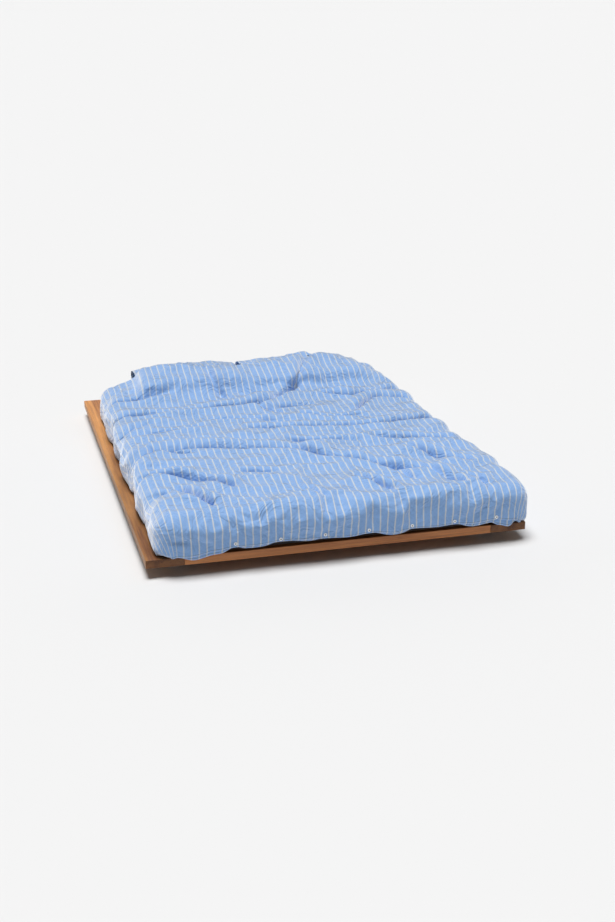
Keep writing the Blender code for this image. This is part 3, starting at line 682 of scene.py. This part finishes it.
def rolls(x, y):
    """Height of the rolls between the creases.

    Near a crease, a is its depth and w its width. A point d metres to its head side drops from a shoulder
    0.35 a high, w away, within 0.55 w; a point to its foot side rises over 0.7 w to a crest 0.2 a high. The
    depth varies from place to place by a factor of 0.4 to 1.4.
    """
    total = 0.007 * crumples(x * 0.45, y, 5, 0.17)
    uneven = np.clip(0.85 + 0.35 * crumples(x, y, 11, 0.25), 0.4, 1.4)
    for points, depth, width in CREASES:
        nearest, side, ends = beside(points, x, y)
        shoulder = 0.35 * np.exp(-(((nearest - width) / (0.8 * width)) ** 2))
        head = shoulder - (1 + 0.35 * np.exp(-1.5625)) * np.exp(-((nearest / (0.55 * width)) ** 2))
        crest = 0.20 * np.exp(-(((nearest - 1.2 * width) / width) ** 2))
        foot = crest - (1 + 0.20 * np.exp(-1.44)) * np.exp(-((nearest / (0.7 * width)) ** 2))
        total = total + 1.9 * depth * uneven * ends * np.where(side > 0, head, foot)
    return total


def sharpen(points):
    """Presses each crease in and lets the roll on its head side hang over it.

    At d from a crease of depth a, cloth on its foot side sinks by 0.9 a exp(-(d/17 mm)^2) and cloth on its
    head side by half of that. Cloth on its head side also moves by a towards the foot and 0.15 a up, times
    exp(-((d - 18 mm)/20 mm)^2).
    """
    x, y, z = points[..., 0].copy(), points[..., 1].copy(), points[..., 2]
    on_top = eased((z - DECK - 0.10) / 0.05)
    lowest = np.minimum(z, support(x, y) + 0.010)
    uneven = np.clip(0.85 + 0.35 * crumples(x, y, 11, 0.25), 0.4, 1.4)
    for line, depth, width in CREASES:
        nearest, side, ends = beside(line, x, y)
        strength = ends * on_top * depth * uneven
        press = strength * np.exp(-((nearest / 0.017) ** 2)) * np.where(side > 0, 0.5, 1.0)
        lean = strength * np.exp(-(((nearest - 0.018) / 0.020) ** 2)) * (side > 0)
        points[..., 2] += 0.15 * lean - 0.90 * press
        points[..., 1] -= 1.00 * lean
    points[..., 2] = np.maximum(points[..., 2], lowest)
    return points


def doubled(field):
    """A grid of points with one more between each two, on the smooth cubic through four neighbours."""
    for _ in range(2):
        wide = np.concatenate([2 * field[:1] - field[1:2], field, 2 * field[-1:] - field[-2:-1]])
        middle = (9 * (wide[1:-2] + wide[2:-1]) - wide[:-3] - wide[3:]) / 16
        more = np.zeros((2 * len(field) - 1,) + field.shape[1:])
        more[::2] = field
        more[1::2] = middle
        field = more.swapaxes(0, 1)
    return field


def blurred(field, times):
    """A height field averaged with its four neighbours a number of times."""
    for _ in range(times):
        wide = np.pad(field, 1, mode="edge")
        field = 0.2 * (field + wide[2:, 1:-1] + wide[:-2, 1:-1] + wide[1:-1, 2:] + wide[1:-1, :-2])
    return field


def top_height(x, y):
    """The duvet's upper face: the softened support, 50 mm of loft, less over a pillow, and the rolls."""
    ground = support(x, y)
    # It spans the gap between the two pillows.
    between = np.clip((x + 0.10) / 0.16, 0, 1)
    left_end, right_end = (support(np.full_like(x, end), y) for end in (-0.10, 0.06))
    bridge = (1 - between) * left_end + between * right_end - 0.010
    ground = np.where((between > 0) & (between < 1), np.maximum(ground, bridge), ground)
    ground = np.maximum(ground, blurred(ground, 30))
    over = eased((ground - MATTRESS_TOP) / 0.08)
    loft = 0.052 - 0.034 * over + 0.004 * eased((-0.6 - y) / 0.4)
    # At the left the head end is drawn up over the pillow's mouth, and the bed's edge beside it lies lower.
    mouth = np.exp(-(((x + 0.58) / 0.07) ** 2)) * eased((y - 0.50) / 0.2)
    edge = eased((-0.62 - x) / 0.08) * eased((y - 0.45) / 0.2)
    lifted = 0.012 * over * (x < 0.0) + 0.010 * mouth - 0.020 * edge
    return np.maximum(ground + loft + lifted + (1 - 0.35 * over) * rolls(x, y), support(x, y) + 0.008)


# The filled shape that the cover lies on, as heights over the bed. d is how far a point is inside its
# outline; within EDGE_ROUND of it the height falls to the board as a superellipse.
xs = np.linspace(-0.90, 0.92, 183)
ys = np.linspace(-1.22, 1.16, 239)
X, Y = np.meshgrid(xs, ys, indexing="ij")


def inside(x, y):
    """Distance inside the duvet's outline, with round corners at the foot."""
    sides = np.minimum(x - left_face(y), right_face(y) - x)
    foot = y - FOOT_FACE
    a, b = np.maximum(CORNER_ROUND - sides, 0), np.maximum(CORNER_ROUND - foot, 0)
    return np.where((a > 0) & (b > 0), CORNER_ROUND - np.hypot(a, b), np.minimum(sides, foot))


top = blurred(top_height(X, Y), 2)
d = inside(X, Y)
fall = (1 - (1 - np.clip(d / EDGE_ROUND, 0, 1)) ** 2.2) ** (1 / 2.2)
on_board = (np.abs(X) < 0.802) & (Y > -1.102)
base = np.where(on_board, DECK, 0.0)
filled = base + (top - 0.006 - base) * np.where(d > 0, fall, 0)
filled = np.where(d > 0, np.maximum(filled, base), base)
block = new_piece("filled_shape", np.stack([X, Y, filled], -1), grid_faces(*X.shape)[:, ::-1], None)

# Where each part of the cover starts: columns of cloth run up the foot and along the bed over the rolls,
# each at its own true length, and what hangs past the mattress follows its rounded edge down.
us = np.concatenate([np.arange(CLOTH_LEFT, TUCK_FROM, SPACING), [TUCK_FROM]])
steps = np.linspace(0, 1, 102)
reach = np.linspace(0, 2.25, 1501) + (FOOT_FACE + EDGE_ROUND)
quarter = np.pi / 2 * EDGE_ROUND


def drop_path(far, fall_to_board):
    """How far out and down a point is that hangs far metres of cloth past a rounded edge.

    It goes round a quarter circle, then straight down to the board, and what is left is tucked back inwards.
    """
    turn = np.clip(far / EDGE_ROUND, 0, np.pi / 2)
    out, down = EDGE_ROUND * np.sin(turn), EDGE_ROUND * (1 - np.cos(turn))
    past = np.maximum(far - quarter, 0)
    straight = np.minimum(past, np.maximum(fall_to_board - EDGE_ROUND, 0))
    left_over = past - straight
    return out - 0.06 * np.tanh(left_over / 0.06), down + straight


start = np.zeros((len(us), len(steps), 3))
flats = np.zeros((len(us), len(steps)))  # flat place of each point along its column, from the hem
for i, u in enumerate(us):
    x_top = float(np.clip(u, -0.745 + EDGE_ROUND, 0.80 - EDGE_ROUND))
    z_top = np.interp(reach, ys, top[np.clip(np.searchsorted(xs, x_top), 1, len(xs) - 1)]) + CLOTH_OVER
    length = added_up(np.hypot(np.diff(reach), np.diff(z_top)))
    foot_drop = quarter + (z_top[0] - DECK - float(hem_height(x_top)) - EDGE_ROUND)
    # The cloth past the head edge is turned under, so each column ends where it reaches that edge.
    vs = steps * min(foot_drop + np.interp(head_line(x_top), reach, length), COVER_LENGTH - 0.03)
    flats[i] = vs
    on_top = np.maximum(vs - foot_drop, 0)
    y = np.interp(on_top, length, reach)
    z = np.interp(on_top, length, z_top)
    edge_left, edge_right = left_face(y) + EDGE_ROUND, right_face(y) - EDGE_ROUND
    past_left, past_right = np.maximum(edge_left - u, 0), np.maximum(u - edge_right, 0)
    past_foot = np.maximum(foot_drop - vs, 0)
    past_side = past_left + past_right
    far = np.hypot(past_side, past_foot)
    share = np.maximum(far, 1e-9)
    out, down = drop_path(far, z - DECK - CLOTH_OVER)
    across = np.where(past_left > 0, edge_left, np.where(past_right > 0, edge_right, u))
    start[i, :, 0] = across + out * (np.sign(u) * past_side / share)
    start[i, :, 1] = y - out * past_foot / share
    start[i, :, 2] = z - down

pinned = np.zeros((len(us), len(steps)))
pinned[:, [0, 1, -1]] = 1
pinned[[0, -1]] = 1
sheet = new_piece("duvet_striped_top_panel", start, grid_faces(len(us), len(steps))[:, ::-1], stripes)
group = sheet.vertex_groups.new(name="held")
for index in np.nonzero(pinned.ravel())[0]:
    group.add([int(index)], 1.0, "REPLACE")


def let_fall(piece, bodies, frames, held, growth):
    """Runs a cloth simulation on piece over the given bodies, and returns where its points come to rest.

    growth is how much longer the cloth is than its first shape, so it has to crease.
    """
    for body in bodies:
        body.modifiers.new("solid", "COLLISION")
        body.collision.thickness_outer = 0.003
        body.collision.thickness_inner = 0.05
        body.collision.cloth_friction = 12
    cloth = piece.modifiers.new("cloth", "CLOTH")
    for key, value in {
        "quality": 6, "mass": 0.02, "tension_stiffness": 15, "compression_stiffness": 12,
        "shear_stiffness": 4, "bending_stiffness": 0.04, "air_damping": 2, "vertex_group_mass": held,
        "shrink_min": -growth,
    }.items():
        setattr(cloth.settings, key, value)
    cloth.collision_settings.distance_min = 0.003
    cloth.collision_settings.collision_quality = 2
    cloth.collision_settings.use_self_collision = False
    cloth.point_cache.frame_start = 1
    cloth.point_cache.frame_end = frames + 1
    scene = bpy.context.scene
    for step in range(1, frames + 1):
        scene.frame_set(step)
    shape = piece.evaluated_get(bpy.context.evaluated_depsgraph_get()).to_mesh()
    rest = np.zeros(len(shape.vertices) * 3)
    shape.vertices.foreach_get("co", rest)
    piece.modifiers.remove(cloth)
    scene.frame_set(1)
    return rest.reshape(-1, 3)


fallen = let_fall(sheet, [block], FALL_STEPS, "held", LONGER)
fallen = fallen.reshape(start.shape)
# The hanging sides are eased twice towards the mean of their neighbours, since cotton there hangs free.
for _ in range(2):
    wide = np.pad(fallen, ((1, 1), (1, 1), (0, 0)), mode="edge")
    mean = (wide[2:, 1:-1] + wide[:-2, 1:-1] + wide[1:-1, 2:] + wide[1:-1, :-2]) / 4
    side = eased((np.abs(fallen[..., 0] - 0.01) - 0.70) / 0.03)
    side[[0, -1]] = 0
    side[:, [0, -1]] = 0
    fallen = fallen + 0.7 * side[..., None] * (mean - fallen)
fallen = sharpen(doubled(fallen))
us = doubled(us[:, None, None] * np.ones((1, 2, 1)))[:, 0, 0]
flats = doubled(flats[..., None])[..., 0]
bpy.data.objects.remove(sheet)
bpy.data.objects.remove(block)

# The right side goes on under the duvet: inwards along the board, then up the mattress side.
tuck = np.arange(SPACING / 2, CLOTH_RIGHT - TUCK_FROM + 0.001, SPACING / 2)
fold_edge = fallen[-1]
inwards = np.clip(fold_edge[None, :, 0] - 0.716, 0, None)
along = np.minimum(tuck[:, None], inwards)
rising = tuck[:, None] - along
tucked = np.repeat(fold_edge[None], len(tuck), 0)
tucked[:, :, 0] += np.where(rising > 0.10, 0.005, 0) - along
tucked[:, :, 2] = DECK + 0.0035 + np.where(rising > 0.10, 0.20 - rising, rising)
cloth = np.concatenate([fallen, tucked])
all_us = np.concatenate([us, TUCK_FROM + tuck])

# The head end turns under: round a small half circle, then back towards the foot beneath itself.
ROLL = 0.008
all_flats = np.concatenate([flats, np.repeat(flats[-1:], len(tuck), 0)])
end = all_flats[:, -1:]
turned = np.linspace(0, 1, 15)[1:] * (COVER_LENGTH - end)
angle = np.clip(turned / ROLL, 0, np.pi)
back = end - np.maximum(turned - np.pi * ROLL, 0)
under_head = np.zeros(turned.shape + (3,))
for i in range(len(cloth)):
    for axis in range(3):
        under_head[i, :, axis] = np.interp(back[i], all_flats[i], cloth[i, :, axis])
under_head[..., 1] += ROLL * np.sin(angle)
lowest = np.minimum(under_head[..., 2] - 0.002, DECK + 0.006)
under_head[..., 2] = np.maximum(under_head[..., 2] - ROLL * (1 - np.cos(angle)), lowest)
cloth = np.concatenate([cloth, under_head], 1)
all_flats = np.concatenate([all_flats, end + turned], 1)
flat_uv = np.stack([np.broadcast_to(all_us[:, None], all_flats.shape), all_flats], -1).reshape(-1, 2)


def finish_cloth(piece, flat):
    """Gives a sheet of the cover its cloth thickness and its flat places."""
    make_cloth(piece, flat, 0.0010, 0)
    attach(piece, "duvet")


top_panel = new_piece("duvet_striped_top_panel", cloth, grid_faces(*all_flats.shape)[:, ::-1], stripes)
finish_cloth(top_panel, flat_uv)
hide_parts("duvet_cover_top_panel", "upper_placket")

# The under panel lies on the mattress and the pillows and goes down their sides. It meets the top panel at
# its sewn edges, and at the foot it is only buttoned to it, so it sags below the hem between buttons.
UNDER_SIDE = 0.7045  # how far from the middle of the bed it hangs at the sides
UNDER_FOOT = -1.0895  # and where it hangs at the foot
sag = curve_of([(-0.80, 0.002), (-0.68, 0.002), (-0.60, 0.018), (-0.50, 0.016), (-0.445, 0.000),
                (-0.40, 0.010), (-0.33, 0.010), (-0.26, 0.0), (-0.14, 0.008), (-0.07, 0.0), (0.02, 0.002),
                (0.11, 0.0), (0.20, 0.009), (0.26, 0.009), (0.30, 0.0), (0.38, 0.002), (0.475, 0.0),
                (0.56, 0.014), (0.64, 0.012), (0.67, 0.026), (0.72, 0.030), (0.75, 0.006), (0.80, 0.0)])
px, py, pz = fallen[..., 0], fallen[..., 1], fallen[..., 2]
lying = support(px, py) + CLOTH_OVER
off_bed = (np.abs(px) > UNDER_SIDE - 0.0025) | (py < UNDER_FOOT + 0.0025)
under = np.stack([np.clip(px, -UNDER_SIDE, UNDER_SIDE), np.maximum(py, UNDER_FOOT),
                  np.where(off_bed, np.minimum(pz, MATTRESS_TOP + CLOTH_OVER), lying)], -1)
U, V = np.broadcast_to(us[:, None], flats.shape), flats
to_edge = np.minimum(np.minimum(U - us[0], us[-1] - U), np.minimum(V, V[:, -1:] - V))
free = eased(to_edge / 0.10)[..., None]
under = free * under + (1 - free) * fallen
under[..., 2] = np.minimum(under[..., 2], np.maximum(pz - 0.0015, DECK + 0.002))
near_foot = eased((0.05 - V) / 0.05)
under[..., 1] += 0.010 * near_foot
under[..., 2] -= near_foot * sag(px)
under_panel = new_piece("duvet_striped_under_panel", under, grid_faces(*flats.shape), stripes)
finish_cloth(under_panel, np.stack([U, V], -1).reshape(-1, 2))
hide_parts("duvet_cover_under_panel", "under_placket")

# The filling, a thin quilt of fibre in a white shell, lies between the panels, short of their edges.
top_face = fallen[6:-6, 10:-6]
low_face = under[6:-6, 10:-6]
upper = low_face + 0.6 * (top_face - low_face)
lower = low_face + 0.06 * (top_face - low_face)
rows, columns = upper.shape[:2]
shell = fibrous("white downproof cotton shell", "#dfe1e2", "#f4f4f2", {"Scale": 500.0, "Detail": 3.0},
                {"Scale": 12.0, "Detail": 3.0}, 0.006, 0.7)
count = rows * columns
faces = grid_faces(rows, columns)[:, ::-1].tolist() + (grid_faces(rows, columns) + count).tolist()
border = [(r, 0) for r in range(rows)] + [(rows - 1, c) for c in range(1, columns)]
border += [(r, columns - 1) for r in range(rows - 2, -1, -1)] + [(0, c) for c in range(columns - 2, 0, -1)]
ids = np.array([r * columns + c for r, c in border])
after = np.roll(ids, -1)
faces += np.stack([ids, after, after + count, ids + count], -1).tolist()
filling = new_piece("duvet_filling", np.stack([upper, lower]), faces, shell)
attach(filling, "duvet")
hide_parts("duvet_insert")

# ---------------------------------------------------------------- buttons
# Seven white shirt-type buttons of cast polyester with a raised rim, each sewn through the upper hem with
# white thread; they are in shade at the foot.
resin, tree, output = new_material("cast white polyester button")
place = add(tree, "ShaderNodeTexCoord").outputs["Object"]
cloud = add(tree, "ShaderNodeTexNoise", values={"Scale": 160.0, "Detail": 2.0, "Distortion": 1.0},
            links={"Vector": place})
tint = add(tree, "ShaderNodeMix", COLOURS, {6: linear("#eef0f0"), 7: linear("#ffffff")},
           {"Factor": cloud.outputs["Fac"]})
# The dished middle, 6.5 mm across, holds the holes and the thread; its shade is painted in, down to 0.3 of
# the white.
nearest = None
for name in named("button_"):
    middle = [(a + b) / 2 for a, b in zip(*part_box(name))]
    apart = add(tree, "ShaderNodeVectorMath", {"operation": "DISTANCE"}, {1: middle},
                {0: place}).outputs["Value"]
    if nearest:
        apart = add(tree, "ShaderNodeMath", {"operation": "MINIMUM"},
                    links={0: nearest, 1: apart}).outputs[0]
    nearest = apart
painted_dish_shade = add(tree, "ShaderNodeMapRange", values={"From Min": 0.0028, "From Max": 0.0038, "To Min": 0.30,
                                               "To Max": 1.0},
           links={"Value": nearest})
shade_painted_colour = add(tree, "ShaderNodeVectorMath", {"operation": "SCALE"},
             links={0: tint.outputs[2], "Scale": painted_dish_shade.outputs[0]})
shader = add(tree, "ShaderNodeBsdfPrincipled", values={"Roughness": 0.25, "IOR": 1.52, "Coat Weight": 0.3,
                                                       "Coat Roughness": 0.1},
             links={"Base Color": shade_painted_colour.outputs[0]})
tree.links.new(shader.outputs[0], output.inputs["Surface"])
dress(named("button_"), resin)
